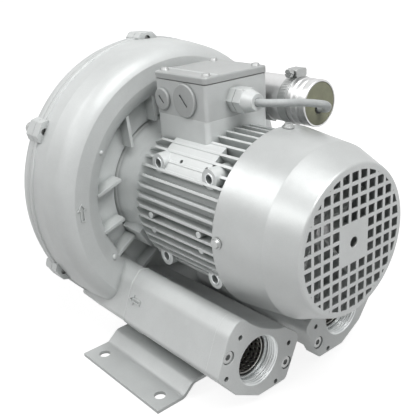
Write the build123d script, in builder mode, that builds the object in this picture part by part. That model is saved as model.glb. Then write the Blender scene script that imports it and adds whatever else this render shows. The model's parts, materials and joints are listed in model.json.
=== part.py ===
from build123d import *
import os
from math import atan2, cos, degrees, pi, radians, sin, sqrt, tan

# Single-phase side channel blower, millimetres.  The origin is the centre of the four foot holes on
# the floor, +Z is up, and the motor axis runs along Y.  The fan end of the motor faces -Y, the blower
# cover faces +Y, and both port flanges face -Y below the motor.

os.makedirs("parts", exist_ok=True)

# ---- driving dimensions -------------------------------------------------------------------------
AXIS_HEIGHT = 138.0            # motor axis above the floor
FOOT_HOLES_X = 205.0
FOOT_HOLES_Y = 83.0
FOOT_HOLE_R = 5.0
FOOT_WIDTH = 231.0
FOOT_LENGTH = 112.0
FOOT_SHEET = 3.0
FOOT_PLATE_TOP = 12.0          # raised middle of the foot, which carries the silencer tubes
FOOT_BOLT_X = 42.0
FOOT_BOLT_YS = (-38.0, -8.0)

PORT_X = 50.0                  # port centres, one each side
PORT_Z = 40.3
PORT_THREAD_R = 20.95          # major radius of a G 1 1/4 pipe thread
PORT_FACE_Y = -103.5
PORT_FLANGE_THICKNESS = 13.5
PORT_FLANGE_BOTTOM = 8.0
PORT_GASKET = 0.5
PORT_BOLT_DX = 30.2            # flange screws lie either side of the port, on its long diagonal
PORT_BOLT_DZ = 17.0
ADAPTER_HOLE_PCD = 67.0
TUBE_ROOT_Y = 20.0
TUBE_BORE_R = 22.0
TUBE_WALL = 4.5
WAIST_R = 84.0                 # hollow under the motor, about the motor axis
NECK_INSET = 0.6
PORT_GASKET_R = 24.4
SCREEN_R = 17.0
FOAM_R = 22.0

CHANNEL_CENTRE_R = 106.0       # side channel torus
CHANNEL_R = 18.0
CHANNEL_OUTER_R = 23.0
CHANNEL_Y = 59.0               # middle of the channel's rounding in the housing
IMPELLER_MID_Y = 76.0
CASING_BAND_Y = 36.5
CASING_JOINT_Y = 88.0
CASING_GASKET = 0.5
CASING_RIM_R = 128.4
CHAMBER_R = 121.5
CHAMBER_FLOOR_Y = 63.5
HUB_FLOOR_Y = 73.0
POCKET_FLOOR_Y = 67.0
SHELF_Y = 57.0
LUG_COUNT = 6
LUG_FIRST_ANGLE = 29.0
LUG_TIP_R = 132.5
LUG_HALF_WIDTH = 10.0
LUG_FACE_Y = 79.5
CASING_BOLT_R = 3.0
CASING_BOLT_PCR = 127.0
RIB_TOP_Y = 44.0
RIB_THICKNESS = 2.8
POCKET_R = 64.3
# Walls on the shelf of the casing: radius and angle of the outer end, then of the inner end.
RIBS = ((83, 105.5, 65.8, 108.3), (83, 127, 65.8, 137), (83, 171, 65.8, 163),
        (83, 195, 65.8, 194.3), (83, 212.7, 65.8, 212), (83, 234, 65.8, 240))

STATOR_BORE_R = 52.0
STATOR_SKIN_R = 58.0
FIN_TIP_R = 66.0
FIN_COUNT = 48
FIN_THICKNESS = 2.2
STATOR_REAR_Y = -80.0
STATOR_FRONT_Y = 25.0
CORE_BORE_R = 35.4
ROTOR_R = 35.0
CORE_FRONT_Y = 15.0
CORE_REAR_Y = -55.0
MOTOR_LUG_FACE_X = 54.0
MOTOR_LUG_DZ = 41.0
MOTOR_LUG_YS = (0.0, -62.0)
SHOULDER_HOLE_YS = (-22.0, -52.0)
MOTOR_SCREW_R = 53.0
MOTOR_SCREW_SEAT_Y = 69.5

BOX_WIDTH = 65.0
BOX_REAR_Y = 25.0
BOX_FRONT_Y = -38.0
BOX_MID_Y = (BOX_FRONT_Y + BOX_REAR_Y) / 2
BOX_DEPTH = BOX_REAR_Y - BOX_FRONT_Y
BOX_WALL = 4.0
BOX_BASE_Z = 213.0
BOX_TOP_Z = 241.0
LID_TOP_Z = 247.0
LID_SCREW_X = 26.0
LID_SCREW_Y = 25.5
PLUGS = (("small", 15.0, 225.2, 9.0), ("large", -13.5, 227.2, 13.3))    # y, z and radius
GLAND_X = -2.0
GLAND_Z = 226.3
GLAND_SEAL_OUT = 15.0

CAPACITOR_X = 54.0
CAPACITOR_Z = 216.5
CAPACITOR_R = 19.0
CAPACITOR_FRONT_Y = -75.0
CAPACITOR_REAR_Y = -5.0
CLAMP_Y = -51.0
LEAD_DIAMETER = 6.0
BRACKET_FRONT_Y = -34.0
BRACKET_LENGTH = 27.0
BRACKET_SCREWS = ((-28.0, 0.0), (-13.0, 0.0))

COWL_SHEET = 1.2
COWL_REAR_Y = -83.0
COWL_REAR_R = 72.4
COWL_CREASE_Y = -127.0
COWL_CREASE_R = 67.1
COWL_FACE_Y = -152.0
COWL_FACE_R = 56.9
GRILLE_PITCH = 9.72
GRILLE_HOLE = 7.0
GRILLE_COUNT = 11
GRILLE_CLIP_R = 52.5

SHAFT_CORE_R = 10.0
DRIVE_BEARING = (8.5, 20.0, 12.0)      # bore radius, outer radius, width of a 6203
REAR_BEARING = (7.5, 17.5, 11.0)       # the same for a 6202
RUNNING_GAP = 0.05

AXIS_PLANE = Plane.XY.offset(AXIS_HEIGHT)
MOTOR_AXIS = Axis((0, 0, AXIS_HEIGHT), (0, 1, 0))


# ---- helpers ------------------------------------------------------------------------------------
def save(piece, label):
    piece.part.label = label
    export_step(piece.part, f"parts/{label}.step")


def facing(y, x=0.0, z=0.0):
    """A sketch plane at this y whose normal looks to -Y, with local x along X and local y along Z."""
    return Plane(origin=(x, y, z), x_dir=(1, 0, 0), z_dir=(0, -1, 0))


def on_axis(y):
    return facing(y, 0.0, AXIS_HEIGHT)


def turned(points):
    """A ring about the motor axis, from (radius, y) points."""
    with BuildPart() as ring:
        with BuildSketch(AXIS_PLANE):
            with BuildLine():
                Polyline(*points, close=True)
            make_face()
        revolve(axis=MOTOR_AXIS)
    return ring


def ring(inner, outer, low, high):
    return turned([(inner, low), (outer, low), (outer, high), (inner, high)])


def polar(radius, angle):
    return radius * cos(radians(angle)), radius * sin(radians(angle))


def radial_plane(angle, y=0.0):
    """Local x runs outward at this angle about the motor axis and local y runs along +Y."""
    across, up = polar(1, angle)
    return Plane(origin=(0, y, AXIS_HEIGHT), x_dir=(across, 0, up), z_dir=(-up, 0, across))


def outward_plane(angle, radius, y, tilt=0.0):
    """A plane whose normal points away from the motor axis, tipped towards -Y by tilt degrees."""
    across, up = polar(1, angle)
    level = cos(radians(tilt))
    return Plane(origin=(radius * across, y, AXIS_HEIGHT + radius * up), x_dir=(-up, 0, across),
                 z_dir=(across * level, -sin(radians(tilt)), up * level))


def casing_bolt_places():
    return [polar(CASING_BOLT_PCR, LUG_FIRST_ANGLE + 360 / LUG_COUNT * turn) for turn in range(LUG_COUNT)]


def motor_screw_places():
    return [polar(MOTOR_SCREW_R, 45 + 90 * turn) for turn in range(4)]


def lugs(inset=0.0):
    """The bolt lugs round the casing joint, as one sketch about the motor axis."""
    tip = LUG_TIP_R - inset
    half = LUG_HALF_WIDTH - inset
    with BuildSketch() as outline:
        with PolarLocations(0, LUG_COUNT, start_angle=LUG_FIRST_ANGLE):
            Polygon((CHAMBER_R - 2, -half), (tip - 4, -half), (tip, 4 - half), (tip, half - 4),
                    (tip - 4, half), (CHAMBER_R - 2, half), align=None)
        Circle(CHAMBER_R + 1, mode=Mode.SUBTRACT)
    return outline.sketch


def cap_screws(planes, shank_r, length, head_r, head_height, socket_r):
    """Socket head cap screws, one on each plane: the plane is the seat and its normal the head's side."""
    with BuildPart() as screws:
        for seat in planes:
            with BuildSketch(seat):
                Circle(head_r)
            extrude(amount=head_height)
            with BuildSketch(seat):
                Circle(shank_r)
            extrude(amount=-length)
            with BuildSketch(seat.offset(head_height)):
                RegularPolygon(socket_r, 6)
            extrude(amount=-head_height * 0.6, mode=Mode.SUBTRACT)
    return screws


# ---- port outline -------------------------------------------------------------------------------
def port_outline(side, bottom, inset=0.0):
    """The closed lozenge that the silencer tube and its flange share, hollowed to clear the motor."""
    waist_low = (20.0, AXIS_HEIGHT - sqrt(WAIST_R ** 2 - 20.0 ** 2))
    waist_high = (62.0, AXIS_HEIGHT - sqrt(WAIST_R ** 2 - 62.0 ** 2))
    waist_mid = (WAIST_R * sin(radians(29)), AXIS_HEIGHT - WAIST_R * cos(radians(29)))
    top = (69.5, 84.0)
    shoulder = (79.5, 74.5)
    outer = (92.5, 43.5)
    keel = (75.0, 21.3)
    outer_foot = (51.0, bottom)
    inner_foot = (20.5, bottom)
    inner = (3.2, 43.0)
    corners = ((top, 8), (shoulder, 12), (outer, 4), (keel, 12), (outer_foot, 6), (inner_foot, 5),
               (inner, 8))
    with BuildSketch() as outline:
        with BuildLine():
            ThreePointArc(waist_low, waist_mid, waist_high)
            Polyline(waist_high, top, shoulder, outer, keel, outer_foot, inner_foot, inner, waist_low)
        make_face()
        for corner, radius in corners:
            fillet(outline.vertices().sort_by_distance((*corner, 0))[0], radius=radius)
        if inset:
            offset(amount=-inset)
        if side < 0:
            mirror(about=Plane.YZ, mode=Mode.REPLACE)
    return outline.sketch


def port_bolt_places(side):
    return [(side * (PORT_X + PORT_BOLT_DX), PORT_Z + PORT_BOLT_DZ),
            (side * (PORT_X - PORT_BOLT_DX), PORT_Z - PORT_BOLT_DZ)]


def adapter_hole_places(side):
    radius = ADAPTER_HOLE_PCD / 2
    return [(side * (PORT_X + radius * cos(radians(angle))), PORT_Z + radius * sin(radians(angle)))
            for angle in (0, 58, 180, 238)]


# ---- blower casing ------------------------------------------------------------------------------
def casing_section():
    """Outside of the motor-side housing, from the hub out over the torus to the rim, and its inside."""
    with BuildSketch(AXIS_PLANE) as section:
        with BuildLine():
            Polyline((15, HUB_FLOOR_Y), (15, 50), (27, 50), (27, POCKET_FLOOR_Y), (POCKET_R, POCKET_FLOOR_Y),
                     (POCKET_R, SHELF_Y), (81.5, SHELF_Y), (83.2, SHELF_Y - 2))
            ThreePointArc((83.2, SHELF_Y - 2), (89.7, 42.8), (101, CASING_BAND_Y))
            Line((101, CASING_BAND_Y), (114, CASING_BAND_Y))
            ThreePointArc((114, CASING_BAND_Y), (121.3, 41.5), (125.2, 51))
            Polyline((125.2, 51), (127, 66), (127.2, 83.5), (CASING_RIM_R, 84),
                     (CASING_RIM_R, CASING_JOINT_Y), (CHAMBER_R, CASING_JOINT_Y), (CHAMBER_R, CHANNEL_Y + 3))
            ThreePointArc((CHAMBER_R, CHANNEL_Y + 3), (CHANNEL_CENTRE_R, CHANNEL_Y - CHANNEL_R),
                          (88, CHANNEL_Y))
            Polyline((88, CHANNEL_Y), (86, CHAMBER_FLOOR_Y), (71, CHAMBER_FLOOR_Y), (69, HUB_FLOOR_Y),
                     (15, HUB_FLOOR_Y))
        make_face()
    return section.sketch


def rib_ends(rib):
    outer_r, outer_angle, inner_r, inner_angle = rib
    return Vector(*polar(outer_r, outer_angle)), Vector(*polar(inner_r, inner_angle))


def rib_plane(rib, mirrored):
    """From the inner end, local x runs along the wall to its outer end and local y along +Y."""
    outer, inner = rib_ends(rib)
    hand = -1 if mirrored else 1
    along = (outer - inner).normalized()
    return Plane(origin=(hand * inner.X, 0, AXIS_HEIGHT + inner.Y), x_dir=(hand * along.X, 0, along.Y),
                 z_dir=(-along.Y, 0, hand * along.X))


def rib_profile(rib):
    outer, inner = rib_ends(rib)
    length = (outer - inner).length
    return [(0, SHELF_Y + 1), (0, RIB_TOP_Y), (length + 5.5, RIB_TOP_Y), (length + 2.5, 50),
            (length + 1.5, SHELF_Y + 1)]


def blower_housing():
    with BuildPart() as housing:
        add(casing_section())
        revolve(axis=MOTOR_AXIS)
        # Bolt lugs round the rim.
        with BuildSketch(on_axis(CASING_JOINT_Y)):
            add(lugs())
        extrude(amount=CASING_JOINT_Y - LUG_FACE_Y)
        # Duct necks that carry the silencer tubes, and the block between them.
        for side in (-1, 1):
            with BuildSketch(Plane.XZ.offset(-TUBE_ROOT_Y)):
                add(port_outline(side, FOOT_PLATE_TOP, NECK_INSET))
            extrude(amount=-(CASING_JOINT_Y - TUBE_ROOT_Y))
        # Walls that stand on the shelf between the torus and the motor seat.
        for rib in RIBS:
            for mirrored in (False, True):
                with BuildSketch(rib_plane(rib, mirrored)):
                    with BuildLine():
                        Polyline(*rib_profile(rib), close=True)
                    make_face()
                extrude(amount=RIB_THICKNESS / 2, both=True)
        # The chamber again, through what the necks and lugs brought in.
        with BuildSketch(AXIS_PLANE):
            with BuildLine():
                Polyline((0, CHAMBER_FLOOR_Y), (86, CHAMBER_FLOOR_Y), (88, CHANNEL_Y))
                ThreePointArc((88, CHANNEL_Y), (CHANNEL_CENTRE_R, CHANNEL_Y - CHANNEL_R),
                              (CHAMBER_R, CHANNEL_Y + 3))
                Polyline((CHAMBER_R, CHANNEL_Y + 3), (CHAMBER_R, CASING_JOINT_Y), (0, CASING_JOINT_Y),
                         (0, CHAMBER_FLOOR_Y))
            make_face()
            with BuildLine():
                Polyline((0, CHAMBER_FLOOR_Y), (71, CHAMBER_FLOOR_Y), (69, HUB_FLOOR_Y), (0, HUB_FLOOR_Y),
                         close=True)
            make_face(mode=Mode.SUBTRACT)
        revolve(axis=MOTOR_AXIS, mode=Mode.SUBTRACT)
        # Ducts from the tubes into the channel.
        with BuildSketch(Plane.XZ.offset(-TUBE_ROOT_Y)):
            with Locations((-PORT_X, PORT_Z), (PORT_X, PORT_Z)):
                Circle(TUBE_BORE_R - 1.5)
        extrude(amount=-(IMPELLER_MID_Y - 12 - TUBE_ROOT_Y), mode=Mode.SUBTRACT)
        # Bearing seat, seal seat and screw holes.
        with BuildSketch(on_axis(50)):
            Circle(DRIVE_BEARING[1])
        extrude(amount=-DRIVE_BEARING[2], mode=Mode.SUBTRACT)
        with BuildSketch(on_axis(CASING_JOINT_Y)):
            with Locations(*casing_bolt_places()):
                Circle(CASING_BOLT_R + RUNNING_GAP)
        extrude(amount=CASING_JOINT_Y - LUG_FACE_Y, mode=Mode.SUBTRACT)
        with BuildSketch(on_axis(HUB_FLOOR_Y)):
            with Locations(*motor_screw_places()):
                Circle(2.5 + RUNNING_GAP)
        extrude(amount=8, mode=Mode.SUBTRACT)
        with BuildSketch(on_axis(HUB_FLOOR_Y)):
            with Locations(*motor_screw_places()):
                Circle(5.2)
        extrude(amount=HUB_FLOOR_Y - MOTOR_SCREW_SEAT_Y, mode=Mode.SUBTRACT)
    return housing


def blower_cover():
    joint = CASING_JOINT_Y + CASING_GASKET
    centre = 2 * IMPELLER_MID_Y - CHANNEL_Y
    floor = 2 * IMPELLER_MID_Y - CHAMBER_FLOOR_Y
    with BuildPart() as cover:
        with BuildSketch(AXIS_PLANE):
            with BuildLine():
                Polyline((0, floor + 9.5), (0, floor + 14), (20, floor + 14), (24, floor + 12),
                         (28, floor + 6.5), (83.5, floor + 6.5))
                ThreePointArc((83.5, floor + 6.5), (CHANNEL_CENTRE_R, centre + CHANNEL_OUTER_R),
                              (127, centre + 5))
                Polyline((127, centre + 5), (CASING_RIM_R, centre), (CASING_RIM_R, joint),
                         (CHAMBER_R, joint), (CHAMBER_R, centre - 2))
                ThreePointArc((CHAMBER_R, centre - 2), (CHANNEL_CENTRE_R, centre + CHANNEL_R), (88, centre))
                Polyline((88, centre), (86, floor), (22, floor), (20, floor + 9.5), (0, floor + 9.5))
            make_face()
        revolve(axis=MOTOR_AXIS)
        with BuildSketch(on_axis(joint)):
            add(lugs())
        extrude(amount=-10)
        for turn in range(8):
            with BuildSketch(radial_plane(22.5 + 45 * turn)):
                with BuildLine():
                    Polyline((22, floor + 5), (22, floor + 12), (87, floor + 16), (87, floor + 5),
                             close=True)
                make_face()
            extrude(amount=1.5, both=True)
        with BuildSketch(AXIS_PLANE):
            with BuildLine():
                Polyline((0, joint), (CHAMBER_R, joint), (CHAMBER_R, centre - 2))
                ThreePointArc((CHAMBER_R, centre - 2), (CHANNEL_CENTRE_R, centre + CHANNEL_R), (88, centre))
                Polyline((88, centre), (86, floor), (22, floor), (20, floor + 9.5), (0, floor + 9.5),
                         (0, joint))
            make_face()
        revolve(axis=MOTOR_AXIS, mode=Mode.SUBTRACT)
        with BuildSketch(on_axis(joint)):
            with Locations(*casing_bolt_places()):
                Circle(CASING_BOLT_R + 0.3)
        extrude(amount=-11, mode=Mode.SUBTRACT)
        with BuildSketch(on_axis(joint + 10)):
            with Locations(*casing_bolt_places()):
                Circle(6)
        extrude(amount=-20, mode=Mode.SUBTRACT)
    return cover


def casing_gasket():
    with BuildPart() as gasket:
        with BuildSketch(on_axis(CASING_JOINT_Y)):
            Circle(CASING_RIM_R - 0.4)
            add(lugs(0.4))
            Circle(CHAMBER_R + 1.2, mode=Mode.SUBTRACT)
            with Locations(*casing_bolt_places()):
                Circle(CASING_BOLT_R + 0.3, mode=Mode.SUBTRACT)
        extrude(amount=-CASING_GASKET)
    return gasket


def casing_bolts():
    seat_y = CASING_JOINT_Y + CASING_GASKET + 10
    seats = [Plane(origin=(x, seat_y, AXIS_HEIGHT + z), x_dir=(1, 0, 0), z_dir=(0, 1, 0))
             for x, z in casing_bolt_places()]
    return cap_screws(seats, CASING_BOLT_R, 16.5, 5.0, 6.0, 2.9)


# ---- silencer tubes and ports -------------------------------------------------------------------
def silencer_tube(side):
    front = PORT_FACE_Y + PORT_FLANGE_THICKNESS
    with BuildPart() as tube:
        with BuildSketch(Plane.XZ.offset(-TUBE_ROOT_Y)):
            add(port_outline(side, FOOT_PLATE_TOP))
        extrude(amount=TUBE_ROOT_Y - front)
        with BuildSketch(Plane.XZ.offset(-TUBE_ROOT_Y)):
            add(port_outline(side, FOOT_PLATE_TOP, TUBE_WALL))
        extrude(amount=TUBE_ROOT_Y - front - 22, mode=Mode.SUBTRACT)
        with BuildSketch(Plane.XZ.offset(-TUBE_ROOT_Y)):
            with Locations((side * PORT_X, PORT_Z)):
                Circle(TUBE_BORE_R)
        extrude(amount=TUBE_ROOT_Y - front, mode=Mode.SUBTRACT)
        with BuildSketch(facing(front)):
            with Locations((side * PORT_X, PORT_Z)):
                Circle(PORT_GASKET_R)
        extrude(amount=-PORT_GASKET, mode=Mode.SUBTRACT)
        with BuildSketch(facing(front)):
            with Locations(*port_bolt_places(side)):
                Circle(3.0 + RUNNING_GAP)
        extrude(amount=-16, mode=Mode.SUBTRACT)
        # Bosses for the screws that come up through the foot.
        for y in FOOT_BOLT_YS:
            with BuildSketch(Plane.XY.offset(FOOT_PLATE_TOP)):
                with Locations((side * FOOT_BOLT_X, y)):
                    Circle(7)
            extrude(amount=6.0)
            with BuildSketch(Plane.XY.offset(FOOT_PLATE_TOP)):
                with Locations((side * FOOT_BOLT_X, y)):
                    Circle(3.0 + RUNNING_GAP)
            extrude(amount=6.0, mode=Mode.SUBTRACT)
    return tube


def port_flange(side):
    with BuildPart() as flange:
        with BuildSketch(Plane.XZ.offset(-PORT_FACE_Y)):
            add(port_outline(side, PORT_FLANGE_BOTTOM))
        extrude(amount=-PORT_FLANGE_THICKNESS)
        chamfer(flange.faces().sort_by(Axis.Y)[0].outer_wire().edges(), length=0.6)
        with BuildSketch(Plane.XZ.offset(-PORT_FACE_Y)):
            with Locations((side * PORT_X, PORT_Z)):
                Circle(PORT_THREAD_R)
        extrude(amount=-PORT_FLANGE_THICKNESS, mode=Mode.SUBTRACT)
        with Locations(*[facing(PORT_FACE_Y, x, z) for x, z in port_bolt_places(side)]):
            CounterBoreHole(radius=3.3, counter_bore_radius=5.6, counter_bore_depth=6.0)
        with Locations(*[facing(PORT_FACE_Y, x, z) for x, z in adapter_hole_places(side)]):
            Hole(radius=2.1, depth=10.0)
    return flange


def port_gasket(side):
    """A flat ring let into the front of the tube."""
    with BuildPart() as gasket:
        with BuildSketch(facing(PORT_FACE_Y + PORT_FLANGE_THICKNESS)):
            with Locations((side * PORT_X, PORT_Z)):
                Circle(PORT_GASKET_R)
                Circle(TUBE_BORE_R, mode=Mode.SUBTRACT)
        extrude(amount=-PORT_GASKET)
    return gasket


def port_flange_screws():
    seats = [facing(PORT_FACE_Y + 6.0, x, z) for side in (-1, 1) for x, z in port_bolt_places(side)]
    return cap_screws(seats, 3.0, 20.0, 5.0, 5.0, 2.6)


def silencer_screen(side):
    """Perforated sheet tube that holds the foam: rows of square holes, each row turned half a pitch."""
    front = PORT_FACE_Y + PORT_FLANGE_THICKNESS
    length = TUBE_ROOT_Y - front - 2
    rows = 7
    columns = 8
    with BuildPart() as screen:
        with BuildSketch(Plane.XZ.offset(-front)):
            with Locations((side * PORT_X, PORT_Z)):
                Circle(SCREEN_R)
                Circle(SCREEN_R - 1.0, mode=Mode.SUBTRACT)
        extrude(amount=-length)
        for row in range(rows):
            y = front + 8 + (length - 16) * row / (rows - 1)
            for column in range(columns // 2):
                turn = 360 / columns * (column + 0.5 * (row % 2))
                hole_plane = Plane(origin=(side * PORT_X, y, PORT_Z), x_dir=(0, 1, 0),
                                   z_dir=(cos(radians(turn)), 0, sin(radians(turn))))
                with BuildSketch(hole_plane):
                    Rectangle(6.5, 6.5, rotation=45)
                extrude(amount=SCREEN_R + 1, both=True, mode=Mode.SUBTRACT)
    return screen


def silencer_foam(side):
    front = PORT_FACE_Y + PORT_FLANGE_THICKNESS
    with BuildPart() as foam:
        with BuildSketch(Plane.XZ.offset(-front)):
            with Locations((side * PORT_X, PORT_Z)):
                Circle(FOAM_R)
                Circle(SCREEN_R, mode=Mode.SUBTRACT)
        extrude(amount=-(TUBE_ROOT_Y - front - 2))
    return foam


# ---- foot ---------------------------------------------------------------------------------------
def foot_bolt_places():
    return [(side * FOOT_BOLT_X, y) for side in (-1, 1) for y in FOOT_BOLT_YS]


def foot_bracket():
    middle = FOOT_SHEET / 2
    low, high = middle, FOOT_PLATE_TOP - middle
    half = FOOT_WIDTH / 2
    with BuildPart() as bracket:
        with BuildSketch(Plane.XZ):
            with BuildLine():
                FilletPolyline((-half, low), (-89, low), (-78, high), (78, high), (89, low), (half, low),
                               radius=7)
            trace(line_width=FOOT_SHEET)
        extrude(amount=FOOT_LENGTH / 2, both=True)
        with Locations(Plane.XY.offset(FOOT_SHEET)):
            with GridLocations(FOOT_HOLES_X, FOOT_HOLES_Y, 2, 2):
                Hole(radius=FOOT_HOLE_R)
        with Locations(Plane.XY.offset(FOOT_PLATE_TOP)):
            with Locations(*foot_bolt_places()):
                Hole(radius=3.3)
    return bracket


def foot_screws():
    """Hexagon screws under the raised plate, with washers, into the tubes."""
    underside = FOOT_PLATE_TOP - FOOT_SHEET
    with BuildPart() as screws:
        places = foot_bolt_places()
        with BuildSketch(Plane.XY.offset(underside)):
            with Locations(*places):
                Circle(6.2)
        extrude(amount=-1.2)
        with BuildSketch(Plane.XY.offset(underside - 1.2)):
            with Locations(*places):
                RegularPolygon(5.6, 6)
        extrude(amount=-4.0)
        with BuildSketch(Plane.XY.offset(underside - 1.2)):
            with Locations(*places):
                Circle(3.0)
        extrude(amount=1.2 + FOOT_SHEET + 5.5)
    return screws


# ---- motor --------------------------------------------------------------------------------------
def stator_housing():
    with BuildPart() as frame:
        with BuildSketch(AXIS_PLANE):
            with BuildLine():
                Polyline((STATOR_BORE_R, STATOR_REAR_Y), (STATOR_SKIN_R, STATOR_REAR_Y),
                         (STATOR_SKIN_R, 40), (61, SHELF_Y), (POCKET_R - 0.5, 61),
                         (POCKET_R - 0.5, POCKET_FLOOR_Y), (40, POCKET_FLOOR_Y), (40, 60), (46, 55),
                         (51, 40), (STATOR_BORE_R, 18), close=True)
            make_face()
        revolve(axis=MOTOR_AXIS)
        # Cooling fins, tapered off where the bell begins.
        for turn in range(FIN_COUNT):
            angle = 90 + 360 / FIN_COUNT * (turn + 0.5)
            with BuildSketch(radial_plane(angle)):
                with BuildLine():
                    Polyline((STATOR_SKIN_R - 1, STATOR_REAR_Y + 2), (FIN_TIP_R, STATOR_REAR_Y + 2),
                             (FIN_TIP_R, 16), (60, 30), (STATOR_SKIN_R - 3, 30), close=True)
                make_face()
            extrude(amount=FIN_THICKNESS / 2, both=True)
        # Smooth blocks on the bell, low on both sides.
        for angle in (213, 327):
            with BuildSketch(outward_plane(angle, POCKET_R + 0.2, 43)):
                Rectangle(20, 26)
            extrude(amount=-10)
        # Smooth shoulders either side of the terminal box.
        with BuildSketch(on_axis(2)):
            Circle(FIN_TIP_R - 0.4)
            Circle(STATOR_SKIN_R - 1, mode=Mode.SUBTRACT)
            with Locations((0, -40)):
                Rectangle(150, 150, mode=Mode.SUBTRACT)
            with Locations((0, 80)):
                Rectangle(60, 60, mode=Mode.SUBTRACT)
        extrude(amount=58)
        # Mounting lugs with their holes to the side, small holes in the shoulders, pads on the fins.
        for side in (-1, 1):
            for y in SHOULDER_HOLE_YS:
                with BuildSketch(outward_plane(90 - side * 46.7, FIN_TIP_R, y)):
                    Circle(1.7)
                extrude(amount=-5, mode=Mode.SUBTRACT)
            for dz in (-MOTOR_LUG_DZ, MOTOR_LUG_DZ):
                for y in MOTOR_LUG_YS:
                    lug_plane = Plane(origin=(side * MOTOR_LUG_FACE_X, y, AXIS_HEIGHT + dz),
                                      x_dir=(0, side, 0), z_dir=(side, 0, 0))
                    with BuildSketch(lug_plane):
                        Circle(8.0)
                    extrude(amount=-20)
                    with BuildSketch(lug_plane):
                        Circle(3.4)
                    extrude(amount=-12, mode=Mode.SUBTRACT)
            for angle in (0.0, 12.0):
                for y in (0.0, -60.0):
                    with BuildSketch(outward_plane(90 - side * 90 - side * angle, FIN_TIP_R + 0.3, y)):
                        Circle(2.6)
                    extrude(amount=-9)
        # Pedestal of the terminal box, flared into the round of the motor.
        with BuildSketch(Plane.XY.offset(AXIS_HEIGHT + 54)):
            with Locations((0, (BOX_FRONT_Y + BOX_REAR_Y) / 2)):
                RectangleRounded(BOX_WIDTH, BOX_REAR_Y - BOX_FRONT_Y, 4)
        extrude(amount=BOX_BASE_Z - AXIS_HEIGHT - 54)
        with BuildSketch(Plane.XY.offset(AXIS_HEIGHT + 40)):
            with Locations((0, (BOX_FRONT_Y + BOX_REAR_Y) / 2)):
                RectangleRounded(BOX_WIDTH - 14, BOX_REAR_Y - BOX_FRONT_Y - 14, 4)
        extrude(amount=BOX_BASE_Z - AXIS_HEIGHT - 40, mode=Mode.SUBTRACT)
        # Threaded holes for the screws that come through the hub of the casing.
        with BuildSketch(on_axis(POCKET_FLOOR_Y)):
            with Locations(*motor_screw_places()):
                Circle(2.5 + RUNNING_GAP)
        extrude(amount=16.5, mode=Mode.SUBTRACT)
        # Turned bore of the stator stack, opened again through fins, lugs and pads.
        with BuildSketch(on_axis(STATOR_REAR_Y)):
            Circle(STATOR_BORE_R)
        extrude(amount=-(18 - STATOR_REAR_Y), mode=Mode.SUBTRACT)
    return frame


def motor_flange_screws():
    """Screws driven from the impeller chamber into the bell of the motor."""
    seats = [Plane(origin=(x, MOTOR_SCREW_SEAT_Y, AXIS_HEIGHT + z), x_dir=(1, 0, 0), z_dir=(0, 1, 0))
             for x, z in motor_screw_places()]
    return cap_screws(seats, 2.5, 18.0, 4.2, 3.2, 2.2)


def stator_core():
    """Laminated stack with open slots towards the air gap."""
    slots = 24
    with BuildPart() as core:
        with BuildSketch(on_axis(CORE_REAR_Y)):
            Circle(STATOR_BORE_R)
            Circle(CORE_BORE_R, mode=Mode.SUBTRACT)
            with PolarLocations(CORE_BORE_R + 6, slots):
                Rectangle(9, 4, mode=Mode.SUBTRACT)
            with PolarLocations(CORE_BORE_R + 1, slots):
                Rectangle(6, 1.6, mode=Mode.SUBTRACT)
        extrude(amount=-(CORE_FRONT_Y - CORE_REAR_Y))
    return core


def stator_windings():
    with BuildPart() as windings:
        for low, high in ((CORE_REAR_Y - 20, CORE_REAR_Y), (CORE_FRONT_Y, CORE_FRONT_Y + 20)):
            with BuildSketch(AXIS_PLANE):
                with Locations(((CORE_BORE_R + 14) / 2 + 19, (low + high) / 2)):
                    RectangleRounded(11, high - low, 3)
            revolve(axis=MOTOR_AXIS)
    return windings


def cowl_inner_r(y):
    slope = (COWL_CREASE_R - COWL_REAR_R) / (COWL_CREASE_Y - COWL_REAR_Y)
    return COWL_REAR_R - COWL_SHEET + slope * (y - COWL_REAR_Y)


def rear_end_shield():
    with BuildPart() as shield:
        with BuildSketch(AXIS_PLANE):
            with BuildLine():
                Polyline((REAR_BEARING[1], STATOR_REAR_Y), (64, STATOR_REAR_Y), (cowl_inner_r(-84), -84),
                         (cowl_inner_r(-91), -91), (62, -88), (26, -88), (23, -93.5), (12, -93.5),
                         (12, -91.5), (REAR_BEARING[1], -91.5), close=True)
            make_face()
        revolve(axis=MOTOR_AXIS)
        for turn in range(4):
            x, z = polar(56.5, 45 + 90 * turn)
            with Locations(facing(-88, x, AXIS_HEIGHT + z)):
                Hole(radius=2.7, depth=12)
        for turn in range(4):
            with BuildSketch(cowl_screw_plane(turn)):
                Circle(2.0)
            extrude(amount=-9, mode=Mode.SUBTRACT)
    return shield


def cowl_screw_plane(turn, lift=0.0):
    tilt = degrees(atan2(COWL_REAR_R - COWL_CREASE_R, COWL_REAR_Y - COWL_CREASE_Y))
    y = -87.5
    seat_r = cowl_inner_r(y) + COWL_SHEET / cos(radians(tilt))
    return outward_plane(87 + 90 * turn, seat_r, y, tilt).offset(lift)


def end_shield_screws():
    """Short screws through the end shield, their tips clear of the windings."""
    seats = []
    for turn in range(4):
        x, z = polar(56.5, 45 + 90 * turn)
        seats.append(facing(-88, x, AXIS_HEIGHT + z))
    return cap_screws(seats, 2.5, 8.0, 4.2, 5.0, 2.2)


def bearing(bore_r, outer_r, rear, width):
    """A shielded ball bearing: both rings, and the shields set back between them."""
    step = (outer_r - bore_r) * 0.28
    low = bore_r + step
    high = outer_r - step
    front = rear + width
    return turned([(bore_r, rear), (low, rear), (low, rear + 0.5), (high, rear + 0.5), (high, rear),
                   (outer_r, rear), (outer_r, front), (high, front), (high, front - 0.5),
                   (low, front - 0.5), (low, front), (bore_r, front)])


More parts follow.
